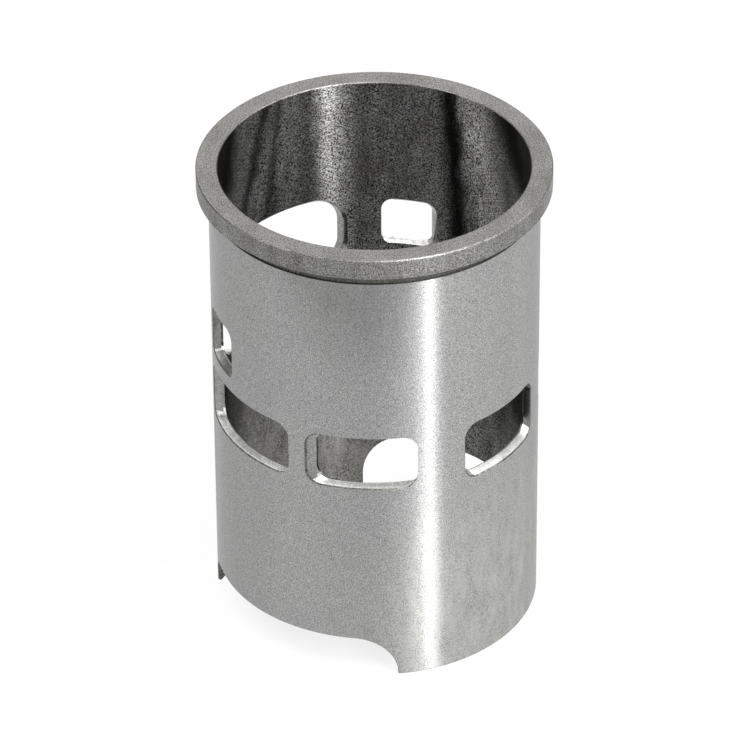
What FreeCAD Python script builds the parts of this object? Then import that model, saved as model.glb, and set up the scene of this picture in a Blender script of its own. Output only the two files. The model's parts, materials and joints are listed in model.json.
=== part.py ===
import FreeCAD, Part
import math
import os

# Cylinder liner of a two-stroke engine: one iron tube, turned and honed, with a flange at
# its top and gas ports milled through its wall. All lengths are millimetres.
# The axis is Z, the skirt stands on Z = 0 and the main exhaust port faces -Y.
# Depths run down from the flange's top face, the deck. Angles in plan run anticlockwise,
# seen from above, from the exhaust's direction: the +X side takes them as they are, the
# -X side takes them with a minus sign.

# Turned tube
bore_radius = 41.0
wall = 2.5
body_radius = bore_radius + wall
liner_height = 134.0

# The wall is whole down to this depth and ported below it. The bore and the outside are
# each two faces that meet here.
whole_wall_depth = 34.0

# Flange at the top and the relief groove below it
flange_overhang = 3.15
flange_radius = body_radius + flange_overhang
flange_height = 5.8
deck_bevel = 0.3
flange_lower_bevel = 0.35
groove_height = 3.4
groove_depth = 0.45

# Bevels at the two ends of the tube
bore_top_bevel = 0.25
skirt_outer_bevel = 0.4
skirt_lead_in_height = 2.2
skirt_lead_in_depth = 1.6

# Edge breaks round the ports, on the bore side and on the outside
port_inner_bevel = 0.6
port_outer_bevel = 0.25

# Main exhaust port, milled straight along Y
exhaust_half_angle = 35.56
exhaust_top = 35.8
exhaust_bottom = 71.3
exhaust_top_corner = 7.5
exhaust_bottom_corner = 22.0

# Auxiliary exhaust window on each side, slanted towards the main one. The right one's
# floor rises to the bore and the left one's is level.
window_start_angle = 49.8
window_end_angle = 70.1
window_slant_angle = 2.9
right_window_top = 38.6
right_window_bottom = 52.9
right_window_rise = 1.4
left_window_top = 37.2
left_window_bottom = 50.1
window_top_corner = 3.0
window_bottom_corner = 2.2

# Transfer ports on each side, slanted away from the exhaust, floors rising to the bore
main_transfer_start_angle = 48.2
main_transfer_end_angle = 98.4
rear_transfer_start_angle = 105.4
rear_transfer_end_angle = 144.7
transfer_slant_angle = 4.1
transfer_top = 57.4
transfer_bottom = 73.1
transfer_rise = 1.0

# Boost port opposite the exhaust, a little off the exhaust's line
boost_centre_angle = 182.0
boost_half_angle = 18.9
boost_top = 58.1
boost_bottom = 75.1
boost_rise = 1.4

# Corner radius of the transfer ports and the boost port
port_corner = 4.0

# Skirt cut-out on each side, open at the bottom
right_skirt_start_angle = 40.2
left_skirt_start_angle = 44.2
skirt_end_angle = 138.0
skirt_corner = 12.0
right_skirt_height = 12.0
left_skirt_height = 19.0

# How far each cutting body runs past the wall, and how near a point must lie to a
# cylinder to count as being on it
overrun = 2.0
touching = 0.005


def at(radius, angle, height=0.0):
    """A point at a radius and at an angle from the exhaust's direction."""
    turn = math.radians(angle - 90.0)
    return FreeCAD.Vector(radius * math.cos(turn), radius * math.sin(turn), height)


def turned_tube():
    """The tube before any port is cut: half its section, turned once round the axis."""
    groove_radius = body_radius - groove_depth
    flange_bottom = liner_height - flange_height
    groove_bottom = flange_bottom - groove_height
    whole_from = liner_height - whole_wall_depth
    section = [
        (bore_radius, whole_from),
        (bore_radius, skirt_lead_in_height),
        (bore_radius + skirt_lead_in_depth, 0.0),
        (body_radius - skirt_outer_bevel, 0.0),
        (body_radius, skirt_outer_bevel),
        (body_radius, whole_from),
        (body_radius, groove_bottom),
        (groove_radius, groove_bottom + groove_depth / 2),
        (groove_radius, flange_bottom),
        (flange_radius - flange_lower_bevel, flange_bottom),
        (flange_radius, flange_bottom + flange_lower_bevel),
        (flange_radius, liner_height - deck_bevel),
        (flange_radius - deck_bevel, liner_height),
        (bore_radius + bore_top_bevel, liner_height),
        (bore_radius, liner_height - bore_top_bevel),
    ]
    points = [FreeCAD.Vector(radius, 0, height) for radius, height in section]
    between_ports = (main_transfer_end_angle + rear_transfer_start_angle) / 2
    return turned(points, between_ports)


def turned(points, seam):
    """The solid that an outline of points makes when it turns once round the axis. Its
    surfaces start and end at the angle called seam, away from the ports that cut them."""
    outline = Part.makePolygon(points + [points[0]])
    solid = Part.Face(outline).revolve(FreeCAD.Vector(), FreeCAD.Vector(0, 0, 1), 360)
    solid.rotate(FreeCAD.Vector(), FreeCAD.Vector(0, 0, 1), seam - 90.0)
    return solid


def level_band(top, bottom, rise, seam):
    """A ring through the wall between two depths; its floor and roof rise to the bore."""
    inner = bore_radius - overrun
    outer = body_radius + overrun
    slope = rise / wall
    at_inner = slope * (body_radius - inner)
    at_outer = slope * (body_radius - outer)
    floor = liner_height - bottom
    roof = liner_height - top
    points = [
        FreeCAD.Vector(inner, 0, floor + at_inner),
        FreeCAD.Vector(outer, 0, floor + at_outer),
        FreeCAD.Vector(outer, 0, roof + at_outer),
        FreeCAD.Vector(inner, 0, roof + at_inner),
    ]
    return turned(points, seam)


def side(outer_angle, inner_angle):
    """One side of a port in plan: a line through the wall, run out past both faces."""
    outer_point = at(body_radius, outer_angle)
    inner_point = at(bore_radius, inner_angle)
    run_out = (outer_point - inner_point) * (2 * overrun / wall)
    return outer_point + run_out, inner_point - run_out


def port(first, last, top, bottom, rise, top_corner, bottom_corner):
    """The body that cuts one port. first and last are its two sides, each a pair of
    angles: where it meets the outside and where it meets the bore."""
    outer_first, inner_first = side(*first)
    outer_last, inner_last = side(*last)
    middle = (first[0] + last[0]) / 2
    crown = at(2 * body_radius, middle)
    plan = [outer_first, crown, outer_last, inner_last, inner_first]
    wedge = Part.Face(Part.makePolygon(plan + [plan[0]]))
    wedge.translate(FreeCAD.Vector(0, 0, -liner_height))
    wedge = wedge.extrude(FreeCAD.Vector(0, 0, 3 * liner_height))
    cutter = level_band(top, bottom, rise, middle + 180.0).common(wedge)
    return rounded(cutter, top, bottom, top_corner, bottom_corner)


def rounded(cutter, top, bottom, top_corner, bottom_corner):
    """The same cutting body with its two upper and its two lower corners rounded."""
    middle_height = liner_height - (top + bottom) / 2
    for corner, above in ((top_corner, True), (bottom_corner, False)):
        cutter = cutter.makeFillet(corner, corner_edges(cutter, middle_height, above))
    return cutter


def corner_edges(cutter, middle_height, above):
    """The two edges that run through the wall above the middle, or the two below it.
    Such an edge starts and ends at different radii and doesn't climb far."""
    found = []
    for edge in cutter.Edges:
        radii = [math.hypot(v.X, v.Y) for v in (edge.Vertexes[0], edge.Vertexes[-1])]
        through = abs(radii[0] - radii[1]) > wall
        across = edge.BoundBox.ZLength < cutter.BoundBox.ZLength / 2
        if through and across and (edge.BoundBox.Center.z > middle_height) == above:
            found.append(edge)
    return found


def on_both_sides(angles):
    """The same pair of angles for the +X side and for the -X side."""
    return angles, tuple(-angle for angle in angles)


def slanted(angle, slant):
    """A side that turns on by a small angle between the outside and the bore."""
    return angle, angle + slant


def exhaust_port():
    """A straight cut along Y, so its floor, its roof and its sides are flat."""
    half_width = body_radius * math.sin(math.radians(exhaust_half_angle))
    reach = body_radius + overrun
    height = exhaust_bottom - exhaust_top
    corner = FreeCAD.Vector(-half_width, -reach, liner_height - exhaust_bottom)
    cutter = Part.makeBox(2 * half_width, reach, height, corner)
    return rounded(cutter, exhaust_top, exhaust_bottom, exhaust_top_corner, exhaust_bottom_corner)


def pair_of_ports(start, end, slant, right_levels, left_levels, corners):
    """Two ports, one on each side of the exhaust's line. The levels of a port are its
    top, its bottom and the rise of its floor; corners are its top and bottom radius."""
    starts = on_both_sides(slanted(start, slant))
    ends = on_both_sides(slanted(end, slant))
    return [
        port(first, last, *levels, *corners)
        for first, last, levels in zip(starts, ends, (right_levels, left_levels))
    ]


def boost_port():
    first = boost_centre_angle - boost_half_angle
    last = boost_centre_angle + boost_half_angle
    return port((first, first), (last, last), boost_top, boost_bottom, boost_rise,
                port_corner, port_corner)


def skirt_cuts():
    """The two cut-outs at the bottom; each cutting body ends well below the skirt."""
    below = liner_height + skirt_corner + overrun
    cuts = []
    for hand, start, height in (
        (1, right_skirt_start_angle, right_skirt_height),
        (-1, left_skirt_start_angle, left_skirt_height),
    ):
        first = (hand * start, hand * start)
        last = (hand * skirt_end_angle, hand * skirt_end_angle)
        cuts.append(port(first, last, liner_height - height, below, 0.0, skirt_corner, skirt_corner))
    return cuts


def port_edges(liner, radius, lowest, highest):
    """The edges where ports meet the cylinder of this radius, between two heights. An
    edge counts when its quarter points and its middle lie on the cylinder."""
    found = []
    for edge in liner.Edges:
        start = edge.FirstParameter
        quarter = (edge.LastParameter - start) / 4
        points = [edge.valueAt(start + quarter * step) for step in (1, 2, 3)]
        on_cylinder = all(abs(math.hypot(p.x, p.y) - radius) < touching for p in points)
        box = edge.BoundBox
        if on_cylinder and box.ZMin > lowest and box.ZMax < highest:
            found.append(edge)
    return found


def cylinder_liner():
    """The tube with its ports cut, their edges broken and the skirt cut out."""
    liner = turned_tube()
    right_window = (right_window_top, right_window_bottom, right_window_rise)
    left_window = (left_window_top, left_window_bottom, 0.0)
    transfer = (transfer_top, transfer_bottom, transfer_rise)
    window_corners = (window_top_corner, window_bottom_corner)
    transfer_corners = (port_corner, port_corner)
    windows = (window_start_angle, window_end_angle, window_slant_angle)
    main_transfers = (main_transfer_start_angle, main_transfer_end_angle, transfer_slant_angle)
    rear_transfers = (rear_transfer_start_angle, rear_transfer_end_angle, transfer_slant_angle)
    cutters = [exhaust_port()]
    cutters += pair_of_ports(*windows, right_window, left_window, window_corners)
    cutters += pair_of_ports(*main_transfers, transfer, transfer, transfer_corners)
    cutters += pair_of_ports(*rear_transfers, transfer, transfer, transfer_corners)
    cutters.append(boost_port())
    for cutter in cutters:
        liner = liner.cut(cutter)
    lowest = liner_height - boost_bottom - 2 * overrun
    highest = liner_height - exhaust_top + 2 * overrun
    liner = liner.makeChamfer(port_inner_bevel, port_edges(liner, bore_radius, lowest, highest))
    liner = liner.makeChamfer(port_outer_bevel, port_edges(liner, body_radius, lowest, highest))
    for cutter in skirt_cuts():
        liner = liner.cut(cutter)
    return liner


os.makedirs("parts", exist_ok=True)
liner = cylinder_liner()
solid = liner.Solids[0]
print("solids", len(liner.Solids), "valid", solid.isValid(), "volume", round(solid.Volume, 1))
print("box", solid.optimalBoundingBox(False, False))
solid.exportStep("parts/liner.step")
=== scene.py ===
import json
import math
from collections import namedtuple

import bmesh
import bpy
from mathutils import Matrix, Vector

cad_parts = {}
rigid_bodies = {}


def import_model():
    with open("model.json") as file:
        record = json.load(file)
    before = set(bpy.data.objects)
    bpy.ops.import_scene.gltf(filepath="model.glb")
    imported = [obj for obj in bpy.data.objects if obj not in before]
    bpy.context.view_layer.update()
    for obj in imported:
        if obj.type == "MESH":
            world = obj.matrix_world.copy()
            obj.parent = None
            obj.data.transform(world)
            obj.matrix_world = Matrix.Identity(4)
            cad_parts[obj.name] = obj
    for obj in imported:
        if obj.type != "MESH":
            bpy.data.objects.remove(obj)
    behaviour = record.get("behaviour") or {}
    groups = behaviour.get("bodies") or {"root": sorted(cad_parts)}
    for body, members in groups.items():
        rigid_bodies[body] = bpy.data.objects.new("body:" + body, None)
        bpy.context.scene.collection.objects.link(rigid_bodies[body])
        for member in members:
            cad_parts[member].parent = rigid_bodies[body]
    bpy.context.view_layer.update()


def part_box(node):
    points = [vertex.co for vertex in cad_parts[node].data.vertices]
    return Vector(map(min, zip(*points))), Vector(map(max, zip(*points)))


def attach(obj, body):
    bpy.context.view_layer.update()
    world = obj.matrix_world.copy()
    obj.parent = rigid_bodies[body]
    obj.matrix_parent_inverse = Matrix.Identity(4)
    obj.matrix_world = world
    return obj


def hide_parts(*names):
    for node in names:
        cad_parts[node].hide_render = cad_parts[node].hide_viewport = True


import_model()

# The liner is one sleeve of grey iron: cast, turned, then its ports milled through the wall,
# the bore honed and the outside ground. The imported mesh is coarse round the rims, so this
# piece stands for it, turned and cut to the same sizes. First the turned tube.
BORE = 0.0410
BODY = 0.0435
WALL = BODY - BORE
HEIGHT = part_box("liner")[1][2]
FLANGE = 0.04665
FLANGE_HEIGHT = 0.0058
FLANGE_BOTTOM = HEIGHT - FLANGE_HEIGHT
GROOVE_DEPTH = 0.00045
GROOVE_HEIGHT = 0.0034
GROOVE = BODY - GROOVE_DEPTH
GROOVE_BOTTOM = FLANGE_BOTTOM - GROOVE_HEIGHT
DECK_BEVEL = 0.0003
RIM_BEVEL = 0.00035
BORE_TOP_BEVEL = 0.00025
SKIRT_BEVEL = 0.0004
LEAD_IN_HEIGHT = 0.0022
LEAD_IN_DEPTH = 0.0016
TURN_STEPS = 512

sleeve = bmesh.new()
section = [
    (BORE, LEAD_IN_HEIGHT),
    (BORE + LEAD_IN_DEPTH, 0.0),
    (BODY - SKIRT_BEVEL, 0.0),
    (BODY, SKIRT_BEVEL),
    (BODY, GROOVE_BOTTOM),
    (GROOVE, GROOVE_BOTTOM + GROOVE_DEPTH / 2),
    (GROOVE, FLANGE_BOTTOM),
    (FLANGE - RIM_BEVEL, FLANGE_BOTTOM),
    (FLANGE, FLANGE_BOTTOM + RIM_BEVEL),
    (FLANGE, HEIGHT - DECK_BEVEL),
    (FLANGE - DECK_BEVEL, HEIGHT),
    (BORE + BORE_TOP_BEVEL, HEIGHT),
    (BORE, HEIGHT - BORE_TOP_BEVEL),
]
corners = [sleeve.verts.new((radius, 0.0, height)) for radius, height in section]
outline = sleeve.faces.new(corners)
bmesh.ops.delete(sleeve, geom=[outline], context="FACES_ONLY")
bmesh.ops.spin(
    sleeve,
    geom=sleeve.verts[:] + sleeve.edges[:],
    cent=(0.0, 0.0, 0.0),
    axis=(0.0, 0.0, 1.0),
    dvec=(0.0, 0.0, 0.0),
    angle=2.0 * math.pi,
    steps=TURN_STEPS,
    use_merge=True,
    use_duplicate=False,
)
bmesh.ops.recalc_face_normals(sleeve, faces=sleeve.faces[:])
turned = bpy.data.meshes.new("liner_turned")
sleeve.to_mesh(turned)
sleeve.free()
blank = bpy.data.objects.new("liner_blank", turned)
bpy.context.scene.collection.objects.link(blank)

# The ports are milled through the wall, and their edges are then broken. A cutter is a flat
# rounded outline carried through the wall in layers: it flares beyond both faces of the
# wall, and that flare is the edge break.
OVERRUN = 0.0012
STEP = 0.0008
CORNER_SEGMENTS = 10
cutters = bpy.data.collections.new("cutters")
bpy.context.scene.collection.children.link(cutters)


def cutter(name, half_width, low, high, low_corner, high_corner, inner_break, outer_break, place):
    """A cutting body; place puts a point at (along, radius, up) where it belongs."""
    flat = bmesh.new()
    ends = [(-half_width, low), (half_width, low), (half_width, high), (-half_width, high)]
    flat.faces.new([flat.verts.new((along, 0.0, up)) for along, up in ends])
    same_level = 1e-7
    for corner, level in ((low_corner, low), (high_corner, high)):
        chosen = [v for v in flat.verts if abs(v.co.z - level) < same_level]
        bmesh.ops.bevel(
            flat, geom=chosen, offset=corner, offset_type="OFFSET", segments=CORNER_SEGMENTS,
            profile=0.5, affect="VERTICES", material=-1,
        )
    for edge in flat.edges[:]:
        cuts = int(edge.calc_length() / STEP)
        if cuts:
            bmesh.ops.subdivide_edges(flat, edges=[edge], cuts=cuts)

    layers = [
        (BORE - OVERRUN, inner_break + OVERRUN),
        (BORE + inner_break, 0.0),
        (BODY - outer_break, 0.0),
        (BODY + OVERRUN, outer_break + OVERRUN),
        (2 * BODY, outer_break + OVERRUN),
    ]
    face = flat.faces[:][0]
    for radius, grow in layers:
        for vert in face.verts:
            corner = high_corner if vert.co.z > (low + high) / 2 else low_corner
            core_along = max(-half_width + corner, min(half_width - corner, vert.co.x))
            core_up = max(low + low_corner, min(high - high_corner, vert.co.z))
            core = Vector((core_along, core_up))
            outward = (Vector((vert.co.x, vert.co.z)) - core).normalized() * (corner + grow)
            vert.co = (core_along + outward.x, radius, core_up + outward.y)
        if radius < layers[-1][0]:
            lip = bmesh.ops.extrude_edge_only(flat, edges=face.edges[:])["geom"]
            if radius > layers[0][0]:
                flat.faces.remove(face)
            loop = [item for item in lip if isinstance(item, bmesh.types.BMEdge)]
            face = bmesh.ops.contextual_create(flat, geom=loop)["faces"][0]
    for vert in flat.verts:
        vert.co = place(vert.co.x, vert.co.y, vert.co.z)
    bmesh.ops.recalc_face_normals(flat, faces=flat.faces[:])
    mesh = bpy.data.meshes.new(name)
    flat.to_mesh(mesh)
    flat.free()
    cutters.objects.link(bpy.data.objects.new(name, mesh))


def at(radius, angle, height):
    """A point at an angle from the exhaust's direction, anticlockwise from above."""
    turn = math.radians(angle - 90.0)
    return Vector((radius * math.cos(turn), radius * math.sin(turn), height))


def round_the_axis(middle, slant, rise):
    """Wraps an outline round the axis, leaning by slant and rising by rise to the bore."""
    def place(along, radius, up):
        depth = (BODY - radius) / WALL
        return at(radius, middle + math.degrees(along / BODY) + slant * depth, up + rise * depth)
    return place


def straight_along_y(along, radius, up):
    """Wraps an outline on to the cylinder along Y, as a straight milling cut does."""
    return Vector((along, -math.sqrt(radius**2 - along**2), up))


PORT_INNER_BREAK = 0.0006
PORT_OUTER_BREAK = 0.00025


def port(name, half_width, bottom, top, bottom_corner, top_corner, place):
    """A cutter whose two depths run down from the deck, with the edge breaks of a port."""
    cutter(name, half_width, HEIGHT - bottom, HEIGHT - top, bottom_corner, top_corner,
           PORT_INNER_BREAK, PORT_OUTER_BREAK, place)


def arc(angle):
    """The length round the outside of the wall that an angle in degrees spans."""
    return math.radians(angle) * BODY


# The main exhaust port, with wide lower corners.
EXHAUST_HALF_ANGLE = 35.56
EXHAUST_TOP = 0.0358
EXHAUST_BOTTOM = 0.0713
EXHAUST_TOP_CORNER = 0.0075
EXHAUST_BOTTOM_CORNER = 0.022
port("exhaust", BODY * math.sin(math.radians(EXHAUST_HALF_ANGLE)), EXHAUST_BOTTOM, EXHAUST_TOP,
     EXHAUST_BOTTOM_CORNER, EXHAUST_TOP_CORNER, straight_along_y)

# On each side an exhaust window and two transfer ports, between two angles in plan.
WINDOW_ANGLES = (49.8, 70.1)
WINDOW_SLANT = 2.9
WINDOW_BOTTOM_CORNER = 0.0022
WINDOW_TOP_CORNER = 0.0030
MAIN_TRANSFER_ANGLES = (48.2, 98.4)
REAR_TRANSFER_ANGLES = (105.4, 144.7)
TRANSFER_SLANT = 4.1
TRANSFER_TOP = 0.0574
TRANSFER_BOTTOM = 0.0731
TRANSFER_RISE = 0.0010
PORT_CORNER = 0.0040
for side, window_top, window_bottom, window_rise in (
    (1, 0.0386, 0.0529, 0.0014),
    (-1, 0.0372, 0.0501, 0.0),
):
    window = (WINDOW_ANGLES, WINDOW_SLANT, window_rise, window_bottom, window_top,
              WINDOW_BOTTOM_CORNER, WINDOW_TOP_CORNER)
    transfer = (TRANSFER_SLANT, TRANSFER_RISE, TRANSFER_BOTTOM, TRANSFER_TOP,
                PORT_CORNER, PORT_CORNER)
    for name, (start, end), slant, rise, bottom, top, bottom_corner, top_corner in (
        ("window", *window),
        ("main_transfer", MAIN_TRANSFER_ANGLES, *transfer),
        ("rear_transfer", REAR_TRANSFER_ANGLES, *transfer),
    ):
        port(f"{name}_{side}", arc((end - start) / 2), bottom, top, bottom_corner, top_corner,
             round_the_axis(side * (start + end) / 2, side * slant, rise))

# The boost port, opposite the exhaust and a little off its line.
BOOST_CENTRE_ANGLE = 182.0
BOOST_HALF_ANGLE = 18.9
BOOST_TOP = 0.0581
BOOST_BOTTOM = 0.0751
BOOST_RISE = 0.0014
port("boost", arc(BOOST_HALF_ANGLE), BOOST_BOTTOM, BOOST_TOP, PORT_CORNER, PORT_CORNER,
     round_the_axis(BOOST_CENTRE_ANGLE, 0.0, BOOST_RISE))

# A cut-out on each side of the skirt, open at the bottom.
SKIRT_CORNER = 0.012
SKIRT_BREAK = 0.00012
SKIRT_END_ANGLE = 138.0
BELOW_SKIRT = -SKIRT_CORNER - 0.002
for side, start, height in ((1, 40.2, 0.012), (-1, 44.2, 0.019)):
    cutter(f"skirt_{side}", arc((SKIRT_END_ANGLE - start) / 2), BELOW_SKIRT, height,
           SKIRT_CORNER, SKIRT_CORNER, SKIRT_BREAK, SKIRT_BREAK,
           round_the_axis(side * (start + SKIRT_END_ANGLE) / 2, 0.0, 0.0))

cut = blank.modifiers.new("ports", "BOOLEAN")
cut.operation = "DIFFERENCE"
cut.operand_type = "COLLECTION"
cut.collection = cutters
cut.solver = "EXACT"
graph = bpy.context.evaluated_depsgraph_get()
liner_mesh = bpy.data.meshes.new_from_object(blank.evaluated_get(graph))
liner_mesh.name = "liner_sleeve"
for spare in list(cutters.objects) + [blank]:
    bpy.data.objects.remove(spare)
bpy.data.collections.remove(cutters)

liner = bpy.data.objects.new("liner_sleeve", liner_mesh)
bpy.context.scene.collection.objects.link(liner)

# Each surface keeps the finish of the tool that made it: ground outside, turned on the flange,
# honed in the bore and milled in the ports. Some colours are painted light: the port floors are a
# painted lit copy of the milled finish and their sides a painted shaded copy, the relief groove
# and the dark edges carry painted shade on top of a rougher finish, and dark and light bands of
# painted reflection run down the bore. Some places are worn or stained, and some patches are
# painted shade.
NOISE_LOW = 0.36
NOISE_HIGH = 0.64
PATCH_SQUEEZE = 0.35
SCUFF_SIZE = 0.003125
HONE_SLOPE = 0.5
PAINTED_BAND_WANDER = 0.02
PAINTED_BANDS_END = 0.040
PAINTED_BANDS_WHOLE = 0.065
POLISH_SPREAD = 0.06
GRAIN_STRENGTH = 0.25
QUARTER_TURN = 0.25

# A painted reflection band in the bore has its angle at the deck, how far it would lean by
# the foot and its half width, in degrees, and its depth of tone: above nothing it is painted
# shade, below nothing a painted highlight.
PaintedReflectionBand = namedtuple("PaintedReflectionBand", "angle lean half_width depth")
# A stained or worn place, or a patch of painted shade, has its middle, reach and tint, and its
# thinnest and thickest cover.
StainOrPaintedShade = namedtuple("StainOrPaintedShade", "place reach tint thin thick")


def node(tree, kind, **settings):
    """A new node of a material, with its settings."""
    made = tree.nodes.new(kind)
    for key, value in settings.items():
        setattr(made, key, value)
    return made


def reckon(tree, operation, first, second=0.0):
    """One step of arithmetic on numbers or on what other nodes give."""
    made = node(tree, "ShaderNodeMath", operation=operation)
    for socket, value in zip(made.inputs, (first, second)):
        if isinstance(value, (int, float)):
            socket.default_value = value
        else:
            tree.links.new(value, socket)
    return made.outputs["Value"]


def eased(tree, value, start, end, first, last):
    """Goes smoothly from first to last while the value goes from start to end."""
    made = node(tree, "ShaderNodeMapRange", interpolation_type="SMOOTHSTEP")
    made.inputs["From Min"].default_value = start
    made.inputs["From Max"].default_value = end
    made.inputs["To Min"].default_value = first
    made.inputs["To Max"].default_value = last
    tree.links.new(value, made.inputs["Value"])
    return made.outputs["Result"]


def spread(tree, noise, low, high):
    """Noise, most of which lies between its two usual limits, spread over low to high."""
    made = node(tree, "ShaderNodeMapRange")
    made.inputs["From Min"].default_value = NOISE_LOW
    made.inputs["From Max"].default_value = NOISE_HIGH
    made.inputs["To Min"].default_value = low
    made.inputs["To Max"].default_value = high
    tree.links.new(noise, made.inputs["Value"])
    return made.outputs["Result"]


def mottle(tree, where, size, detail, roughness):
    """Blotches of about this size."""
    made = node(tree, "ShaderNodeTexNoise", noise_dimensions="3D")
    made.inputs["Scale"].default_value = 1.0 / size
    made.inputs["Detail"].default_value = detail
    made.inputs["Roughness"].default_value = roughness
    tree.links.new(where, made.inputs["Vector"])
    return made.outputs["Fac"]


def scratches(tree, along, size):
    """Noise that changes along one measure only, so it makes parallel lines."""
    made = node(tree, "ShaderNodeTexNoise", noise_dimensions="1D")
    made.inputs["Scale"].default_value = 1.0 / size
    made.inputs["Detail"].default_value = 4.0
    tree.links.new(along, made.inputs["W"])
    return made.outputs["Fac"]


def blended(tree, share, first, second):
    """The first tint with a share of the second over it."""
    made = node(tree, "ShaderNodeMix", data_type="RGBA")
    for socket, tint in (("A", first), ("B", second)):
        if isinstance(tint, tuple):
            made.inputs[socket].default_value = (*tint, 1.0)
        else:
            tree.links.new(tint, made.inputs[socket])
    tree.links.new(share, made.inputs["Factor"])
    return made.outputs["Result"]


def crossed_by_the_hone(tree, tone, turn, height, line_size, hatch):
    """The tone with two sets of scratches that climb round the bore in opposite ways."""
    climb = reckon(tree, "MULTIPLY", turn, HONE_SLOPE * BORE)
    for way in ("ADD", "SUBTRACT"):
        helix = scratches(tree, reckon(tree, way, height, climb), 2.0 * line_size)
        tone = reckon(tree, "MULTIPLY", tone, spread(tree, helix, 1.0 - hatch, 1.0 + hatch))
    return tone


def with_painted_reflection_bands(tree, tone, turn, height, painted_reflection_bands):
    """The tone with the painted reflection bands, dark and light, which fade out well above the foot.
    """
    fall = reckon(tree, "SUBTRACT", 1.0, reckon(tree, "DIVIDE", height, HEIGHT))
    upper = eased(tree, height, PAINTED_BANDS_END, PAINTED_BANDS_WHOLE, 0.0, 1.0)
    # Each band is a painted reflection: it darkens the tone, or lightens it where its depth is below
    # nothing.
    for run in painted_reflection_bands:
        middle = reckon(tree, "ADD", reckon(tree, "MULTIPLY", fall, math.radians(run.lean)),
                        math.radians(run.angle))
        beside = reckon(tree, "ABSOLUTE", reckon(tree, "SUBTRACT", turn, middle))
        depth = eased(tree, beside, 0.0, math.radians(run.half_width), run.depth, 0.0)
        dark = reckon(tree, "MULTIPLY", depth, upper)
        tone = reckon(tree, "MULTIPLY", tone, reckon(tree, "SUBTRACT", 1.0, dark))
    return tone


def with_stains_and_painted_shade(tree, tinted, where, drawn_out, stains_and_painted_shade):
    """The tint with the worn or stained places and the patches of painted shade over it, broken up by
    scuffs.
    """
    for stain_or_shade in stains_and_painted_shade:
        gap = node(tree, "ShaderNodeVectorMath", operation="DISTANCE")
        gap.inputs[1].default_value = stain_or_shade.place
        tree.links.new(where, gap.inputs[0])
        near = eased(tree, gap.outputs["Value"], 0.0, stain_or_shade.reach, 1.0, 0.0)
        scuffs = mottle(tree, drawn_out, SCUFF_SIZE, 6.0, 0.7)
        cover = reckon(tree, "MULTIPLY", near, spread(tree, scuffs, stain_or_shade.thin, stain_or_shade.thick))
        tinted = blended(tree, cover, tinted, stain_or_shade.tint)
    return tinted


def machined(name, colour, stain, stain_size, roughness, stretch, grain, grain_size, lines,
             line_size, relief, hatch=0.0, painted_reflection_bands=(), stains_and_painted_shade=()):
    """Bare machined iron. Grain is fine speckle, lines are what the tool left as it fed along
    the surface, hatch is the crossed scratches of a hone, and the stain is the tint of old
    oil and handling in patches drawn out along the axis. Stretch draws reflections out
    across the lines, and relief is how deep the grain is. With the hatch come the painted
    reflection bands, dark and light, and the stains and painted shade are worn or stained
    places and patches of painted shade. Some callers give a colour that is itself painted light."""
    material = bpy.data.materials.new(name)
    material.use_nodes = True
    tree = material.node_tree
    where = node(tree, "ShaderNodeTexCoord").outputs["Object"]
    parts = node(tree, "ShaderNodeSeparateXYZ")
    tree.links.new(where, parts.inputs["Vector"])
    across = parts.outputs["X"]
    beyond = parts.outputs["Y"]
    height = parts.outputs["Z"]
    squares = reckon(tree, "ADD", reckon(tree, "MULTIPLY", across, across),
                     reckon(tree, "MULTIPLY", beyond, beyond))
    feed = reckon(tree, "ADD", reckon(tree, "SQRT", squares), height)
    squeeze = node(tree, "ShaderNodeVectorMath", operation="MULTIPLY")
    squeeze.inputs[1].default_value = (1.0, 1.0, PATCH_SQUEEZE)
    tree.links.new(where, squeeze.inputs[0])
    drawn_out = squeeze.outputs["Vector"]
    speckle = mottle(tree, where, grain_size, 3.0, 0.5)
    patches = mottle(tree, drawn_out, stain_size, 5.0, 0.6)

    tone = reckon(tree, "MULTIPLY", spread(tree, speckle, 1.0 - grain, 1.0 + grain),
                  spread(tree, scratches(tree, feed, line_size), 1.0 - lines, 1.0 + lines))
    if hatch:
        turn = reckon(tree, "ARCTAN2", reckon(tree, "MULTIPLY", beyond, -1.0),
                      reckon(tree, "MULTIPLY", across, -1.0))
        tone = crossed_by_the_hone(tree, tone, turn, height, line_size, hatch)
        # The bore's painted reflection bands wander a little with the stain patches.
        wander = spread(tree, patches, -PAINTED_BAND_WANDER, PAINTED_BAND_WANDER)
        tone = with_painted_reflection_bands(tree, tone, reckon(tree, "ADD", turn, wander), height, painted_reflection_bands)
    paint = node(tree, "ShaderNodeVectorMath", operation="SCALE")
    tree.links.new(blended(tree, spread(tree, patches, 0.0, 1.0), colour, stain), paint.inputs[0])
    tree.links.new(tone, paint.inputs["Scale"])
    bump = node(tree, "ShaderNodeBump")
    bump.inputs["Strength"].default_value = GRAIN_STRENGTH
    bump.inputs["Distance"].default_value = relief
    tree.links.new(speckle, bump.inputs["Height"])
    tangent = node(tree, "ShaderNodeTangent", direction_type="RADIAL", axis="Z")

    shader = tree.nodes["Principled BSDF"]
    shader.inputs["Metallic"].default_value = 1.0
    shader.inputs["Anisotropic"].default_value = stretch
    shader.inputs["Anisotropic Rotation"].default_value = QUARTER_TURN
    tinted = with_stains_and_painted_shade(tree, paint.outputs["Vector"], where, drawn_out, stains_and_painted_shade)
    rough = spread(tree, patches, roughness * (1.0 - POLISH_SPREAD),
                   roughness * (1.0 + POLISH_SPREAD))
    tree.links.new(tinted, shader.inputs["Base Color"])
    tree.links.new(rough, shader.inputs["Roughness"])
    tree.links.new(bump.outputs["Normal"], shader.inputs["Normal"])
    tree.links.new(tangent.outputs["Tangent"], shader.inputs["Tangent"])
    return material


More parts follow.
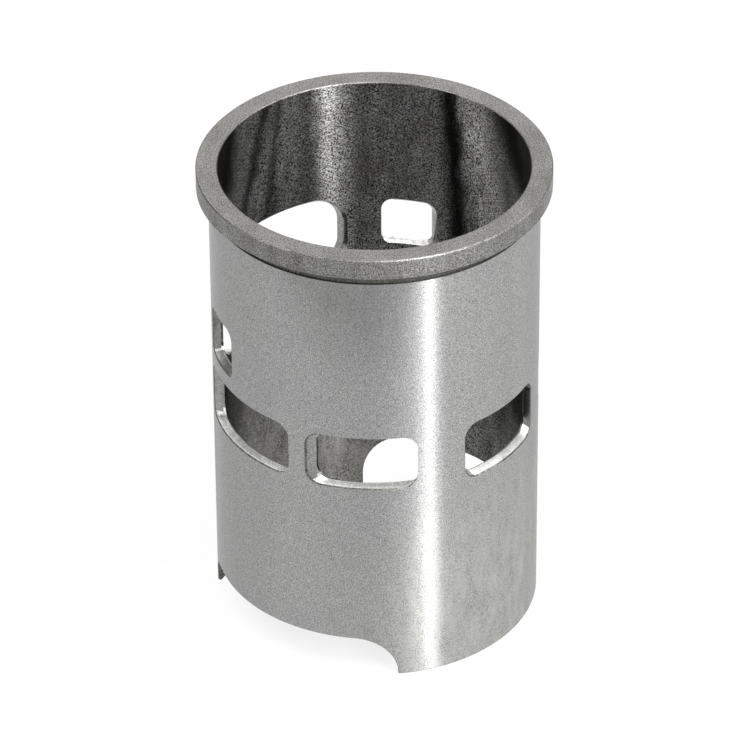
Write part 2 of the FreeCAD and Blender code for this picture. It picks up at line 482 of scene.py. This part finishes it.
finishes_and_painted_light = [
    machined(
        "ground_body", colour=(0.322, 0.322, 0.322), stain=(0.338, 0.338, 0.332),
        stain_size=0.020, roughness=0.32, stretch=1.0, grain=0.42, grain_size=0.00028,
        lines=0.05, line_size=0.0002, relief=0.00002,
        stains_and_painted_shade=(
            StainOrPaintedShade((0.0, BODY, 0.018), 0.060, (0.520, 0.518, 0.480), 0.0, 0.60),
            # Painted shade on the front of the body just below the flange. The mark above is a stain
            # near the foot.
            StainOrPaintedShade((0.0353, 0.0254, 0.118), 0.028, (0.130, 0.129, 0.127), 0.30, 0.50),
        ),
    ),
    machined(
        "turned_deck", colour=(0.275, 0.270, 0.263), stain=(0.220, 0.214, 0.205),
        stain_size=0.009, roughness=0.40, stretch=0.3, grain=0.60, grain_size=0.00034,
        lines=0.10, line_size=0.0003, relief=0.00004,
    ),
    machined(
        "turned_rim", colour=(0.220, 0.219, 0.213), stain=(0.165, 0.163, 0.156),
        stain_size=0.005, roughness=0.48, stretch=0.5, grain=0.60, grain_size=0.00034,
        lines=0.16, line_size=0.0003, relief=0.00004,
    ),
    machined(
        "honed_bore", colour=(0.172, 0.171, 0.169), stain=(0.104, 0.102, 0.096),
        stain_size=0.003, roughness=0.36, stretch=1.0, grain=0.98, grain_size=0.00042,
        lines=0.12, line_size=0.0002, relief=0.00008, hatch=0.25,
        # Painted reflection bands in the bore: all dark but one, which is a painted highlight.
        painted_reflection_bands=(
            PaintedReflectionBand(11.4, -12.6, 8.0, 0.95),
            PaintedReflectionBand(1.5, -44.0, 13.5, -1.00),
            PaintedReflectionBand(-17.6, -141.0, 16.0, 0.90),
            PaintedReflectionBand(-40.0, -60.0, 20.0, 0.85),
            PaintedReflectionBand(45.7, 0.0, 8.0, 0.30),
            PaintedReflectionBand(66.0, 0.0, 8.0, 0.45),
            PaintedReflectionBand(78.2, 25.0, 3.8, 0.60),
            PaintedReflectionBand(84.5, 65.0, 5.0, 0.75),
            PaintedReflectionBand(108.0, 60.0, 14.0, 0.90),
            PaintedReflectionBand(124.0, 60.0, 16.0, 0.90),
        ),
        # A lighter, warmer mottled patch low in the bore.
        stains_and_painted_shade=(StainOrPaintedShade((-0.0192, -0.0362, 0.030), 0.056, (0.360, 0.352, 0.334), 0.1, 0.8),),
    ),
    # The port floors: a painted lit copy of the milled finish, much paler than the sides cut by the
    # same tool.
    machined(
        "milled_floor_painted_lit", colour=(0.86, 0.86, 0.85), stain=(0.60, 0.595, 0.58),
        stain_size=0.002, roughness=0.36, stretch=0.0, grain=0.25, grain_size=0.00035,
        lines=0.25, line_size=0.0008, relief=0.00004,
        stains_and_painted_shade=(
            # Two darker patches: on the boost port's floor and on a window's floor.
            StainOrPaintedShade((-0.0059, 0.0421, 0.060), 0.022, (0.30, 0.298, 0.29), 0.6, 1.0),
            StainOrPaintedShade((0.0388, -0.0173, 0.0815), 0.013, (0.12, 0.119, 0.115), 0.7, 1.0),
        ),
    ),
    # The port sides: a painted shaded copy of the milled finish.
    machined(
        "milled_side_painted_shade", colour=(0.31, 0.31, 0.305), stain=(0.22, 0.218, 0.21),
        stain_size=0.004, roughness=0.20, stretch=0.0, grain=0.30, grain_size=0.00035,
        lines=0.10, line_size=0.0006, relief=0.00003,
        stains_and_painted_shade=(
            # Both are painted shade: on a window's side face and high on the boost port's side face.
            StainOrPaintedShade((0.0326, -0.0273, 0.090), 0.014, (0.11, 0.109, 0.105), 0.3, 1.0),
            StainOrPaintedShade((-0.0152, 0.0397, 0.071), 0.011, (0.09, 0.089, 0.085), 0.7, 1.0),
        ),
    ),
    # The groove under the flange: its dark colour is partly a rougher finish and partly painted shade
    # under the flange.
    machined(
        "relief_groove_and_painted_shade", colour=(0.11, 0.11, 0.105), stain=(0.09, 0.088, 0.08),
        stain_size=0.005, roughness=0.50, stretch=0.4, grain=0.40, grain_size=0.0005,
        lines=0.05, line_size=0.0003, relief=0.00005,
    ),
    # The edge breaks and the faces near the foot: their dark colour is partly a rough finish and
    # partly painted shade, contact shade along the foot and shade along the port edges.
    machined(
        "broken_edge_and_painted_shade", colour=(0.17, 0.17, 0.165), stain=(0.10, 0.098, 0.09),
        stain_size=0.003, roughness=0.45, stretch=0.0, grain=0.60, grain_size=0.0005,
        lines=0.05, line_size=0.0003, relief=0.00005,
    ),
]
GROUND, DECK, RIM, HONED, FLOOR, SIDE, RELIEVED, BROKEN = range(8)
liner_mesh.materials.clear()
for finish in finishes_and_painted_light:
    liner_mesh.materials.append(finish)

# A face gets its finish, and some faces a colour of painted light or shade, by where it lies
# and which way it looks. These say how near counts as on the bore or on the flange's
# underside, how squarely a face looks out or up, and a height between the skirt's cut-outs
# and the ports.
OFF_THE_BORE = 1e-5
BELOW_FLANGE = 1e-6
SQUARELY = 0.99
LEVEL = 0.9
RATHER_LEVEL = 0.6
RATHER_OUTWARD = 0.4
ABOVE_SKIRT_CUTS = 0.025
for face in liner_mesh.polygons:
    spot = face.center
    radius = math.hypot(spot.x, spot.y)
    outward = (face.normal.x * spot.x + face.normal.y * spot.y) / radius
    outside = radius > BORE + OFF_THE_BORE
    outer_break = outward > RATHER_OUTWARD and radius > BODY - SKIRT_BEVEL
    if spot.z > FLANGE_BOTTOM - BELOW_FLANGE and outside:
        face.material_index = DECK if face.normal.z > LEVEL else RIM
    # The groove's dark colour is partly a rougher finish and partly painted shade under the flange.
    elif spot.z > GROOVE_BOTTOM and outside:
        face.material_index = RELIEVED
    elif outward > SQUARELY:
        face.material_index = GROUND
    elif outward < -SQUARELY:
        face.material_index = HONED
    # Faces near the foot and the outer edge breaks: dark partly from a rough finish and partly as
    # painted shade.
    elif spot.z < ABOVE_SKIRT_CUTS or outer_break:
        face.material_index = BROKEN
    # Port faces that look up get the painted lit copy of the milled finish, the rest the painted
    # shaded copy.
    elif face.normal.z > RATHER_LEVEL:
        face.material_index = FLOOR
    else:
        face.material_index = SIDE
SHARP_FROM = 25.0
liner_mesh.shade_smooth()
liner_mesh.set_sharp_from_angle(angle=math.radians(SHARP_FROM))

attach(liner, "root")
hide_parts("liner")

# The floor is a plain pale sheet of matt paper that the liner stands on. The camera and the
# metal see it white, and it keeps the liner's shadow, which is deep inside the foot and
# faint around it.
FLOOR_REACH = 6.0
FLOOR_COLOUR = (0.95, 0.95, 0.95, 1.0)
SHADOW_BENEATH = 0.18
SHADOW_AROUND = 0.04
SHADOW_INNER = BODY - 0.012
SHADOW_OUTER = BODY + 0.003


def seen_or_mirrored(tree):
    """1 for rays from the camera and for those that metal or glass sends on, else 0."""
    path = tree.nodes.new("ShaderNodeLightPath")
    either = path.outputs["Is Camera Ray"]
    for kind in ("Is Glossy Ray", "Is Transmission Ray"):
        either = reckon(tree, "MAXIMUM", either, path.outputs[kind])
    return either


floor_form = bmesh.new()
bmesh.ops.create_grid(floor_form, x_segments=1, y_segments=1, size=FLOOR_REACH)
floor_mesh = bpy.data.meshes.new("floor")
floor_form.to_mesh(floor_mesh)
floor_form.free()
floor = bpy.data.objects.new("floor", floor_mesh)
bpy.context.scene.collection.objects.link(floor)
paper = bpy.data.materials.new("white_paper")
paper.use_nodes = True
nodes = paper.node_tree.nodes
links = paper.node_tree.links
sheet = nodes["Principled BSDF"]
sheet.inputs["Base Color"].default_value = FLOOR_COLOUR
sheet.inputs["Roughness"].default_value = 1.0
sheet.inputs["Specular IOR Level"].default_value = 0.0
bright = nodes.new("ShaderNodeEmission")
bright.inputs["Strength"].default_value = 1.0
from_axis = node(paper.node_tree, "ShaderNodeVectorMath", operation="LENGTH")
links.new(nodes.new("ShaderNodeTexCoord").outputs["Object"], from_axis.inputs[0])
unshaded = eased(paper.node_tree, from_axis.outputs["Value"], SHADOW_INNER, SHADOW_OUTER,
                 1.0 - SHADOW_BENEATH, 1.0 - SHADOW_AROUND)
share = reckon(paper.node_tree, "MULTIPLY", seen_or_mirrored(paper.node_tree), unshaded)
mix = nodes.new("ShaderNodeMixShader")
links.new(share, mix.inputs["Fac"])
links.new(sheet.outputs["BSDF"], mix.inputs[1])
links.new(bright.outputs["Emission"], mix.inputs[2])
links.new(mix.outputs["Shader"], nodes["Material Output"].inputs["Surface"])
floor_mesh.materials.append(paper)

# The room is a white tent. It is plain white where the camera or the metal sees it, and
# otherwise dim, so that the soft boxes do the lighting.
TENT = (1.0, 1.0, 1.0, 1.0)
DIM = (0.03, 0.03, 0.03, 1.0)
world = bpy.data.worlds.new("studio")
bpy.context.scene.world = world
world.use_nodes = True
nodes = world.node_tree.nodes
links = world.node_tree.links
nodes.clear()
seen = nodes.new("ShaderNodeBackground")
seen.inputs["Color"].default_value = TENT
lighting = nodes.new("ShaderNodeBackground")
lighting.inputs["Color"].default_value = DIM
mix = nodes.new("ShaderNodeMixShader")
out = nodes.new("ShaderNodeOutputWorld")
links.new(seen_or_mirrored(world.node_tree), mix.inputs["Fac"])
links.new(lighting.outputs["Background"], mix.inputs[1])
links.new(seen.outputs["Background"], mix.inputs[2])
links.new(mix.outputs["Shader"], out.inputs["Surface"])

# Soft boxes stand all round the liner, about two metres away and out of the camera's sight:
# one above, a narrow strip and two broad ones to the right, one high on the left and two
# weak ones behind.
CAMERA_AZIMUTH = 40.55
MIDDLE = Vector((0.0, 0.0, HEIGHT / 2))


def towards(azimuth, elevation):
    """The direction from the liner's middle at these two angles. Azimuths run from the
    camera's own, anticlockwise from above."""
    flat = math.radians(CAMERA_AZIMUTH + azimuth)
    up = math.radians(elevation)
    return Vector((math.cos(flat) * math.cos(up), math.sin(flat) * math.cos(up), math.sin(up)))


def soft_box(name, azimuth, elevation, distance, width, height, strength):
    """A lamp that faces the middle of the liner."""
    lamp = bpy.data.lights.new(name, "AREA")
    lamp.shape = "RECTANGLE"
    lamp.size = width
    lamp.size_y = height
    lamp.energy = strength
    box = bpy.data.objects.new(name, lamp)
    away = towards(azimuth, elevation)
    box.location = MIDDLE + away * distance
    box.rotation_euler = away.to_track_quat("Z", "Y").to_euler()
    box.visible_camera = False
    bpy.context.scene.collection.objects.link(box)


soft_box("zenith", azimuth=0.0, elevation=88.0, distance=2.2, width=1.6, height=1.6, strength=8.0)
soft_box("strip", azimuth=35.3, elevation=38.0, distance=1.6, width=0.14, height=1.8, strength=38.0)
soft_box("right", azimuth=36.0, elevation=35.0, distance=2.0, width=1.9, height=1.6, strength=17.0)
soft_box("side", azimuth=92.0, elevation=35.0, distance=2.0, width=2.0, height=1.6, strength=23.0)
soft_box("left", azimuth=-79.0, elevation=66.0, distance=2.0, width=0.7, height=1.2, strength=24.0)
soft_box("far_left", azimuth=-128.0, elevation=35.0, distance=2.0, width=1.0, height=1.6, strength=3.0)
soft_box("back", azimuth=180.0, elevation=38.0, distance=2.2, width=2.2, height=1.4, strength=2.5)

# Cards covered in matt black felt stand nearer than the soft boxes, also out of the camera's
# sight. Bare metal shows each one as a dark band.
FELT_COLOUR = (0.01, 0.01, 0.01, 1.0)
felt = bpy.data.materials.new("black_felt")
felt.use_nodes = True
nap = felt.node_tree.nodes["Principled BSDF"]
nap.inputs["Base Color"].default_value = FELT_COLOUR
nap.inputs["Roughness"].default_value = 1.0
nap.inputs["Specular IOR Level"].default_value = 0.0


def black_card(name, azimuth, elevation, distance, width, height):
    """A card that faces the middle of the liner and casts no shadow."""
    form = bmesh.new()
    bmesh.ops.create_grid(form, x_segments=1, y_segments=1, size=0.5)
    away = towards(azimuth, elevation)
    turn = away.to_track_quat("Z", "Y")
    for vert in form.verts:
        flat_spot = Vector((vert.co.x * width, vert.co.y * height, 0.0))
        vert.co = MIDDLE + away * distance + turn @ flat_spot
    card_mesh = bpy.data.meshes.new(name)
    form.to_mesh(card_mesh)
    form.free()
    card_mesh.materials.append(felt)
    card = bpy.data.objects.new(name, card_mesh)
    card.visible_camera = False
    card.visible_shadow = False
    bpy.context.scene.collection.objects.link(card)


black_card("card_left", azimuth=-57.0, elevation=50.0, distance=1.5, width=0.38, height=2.4)
black_card("card_far_left", azimuth=-124.0, elevation=50.0, distance=1.5, width=0.8, height=2.4)
black_card("card_far_right", azimuth=142.0, elevation=50.0, distance=1.5, width=0.7, height=2.4)
black_card("card_right", azimuth=97.0, elevation=50.0, distance=1.5, width=0.15, height=2.4)

# The camera stands where the photograph's perspective puts it, well back and with a long
# lens. It looks down at the liner and is turned a little on its own axis.
camera_data = bpy.data.cameras.new("camera")
camera_data.sensor_width = 36.0
camera_data.lens = 272.41522
CAMERA_TURN = (55.8347337, 0.3333416, 130.3330413)
camera = bpy.data.objects.new("camera", camera_data)
CAMERA_DISTANCE = 28.832590 * BODY
CAMERA_HEIGHT = 21.121001 * BODY
camera.location = (
    CAMERA_DISTANCE * math.cos(math.radians(CAMERA_AZIMUTH)),
    CAMERA_DISTANCE * math.sin(math.radians(CAMERA_AZIMUTH)),
    CAMERA_HEIGHT,
)
camera.rotation_euler = [math.radians(turn) for turn in CAMERA_TURN]
bpy.context.scene.collection.objects.link(camera)
bpy.context.scene.camera = camera
bpy.context.scene.view_settings.view_transform = "Standard"
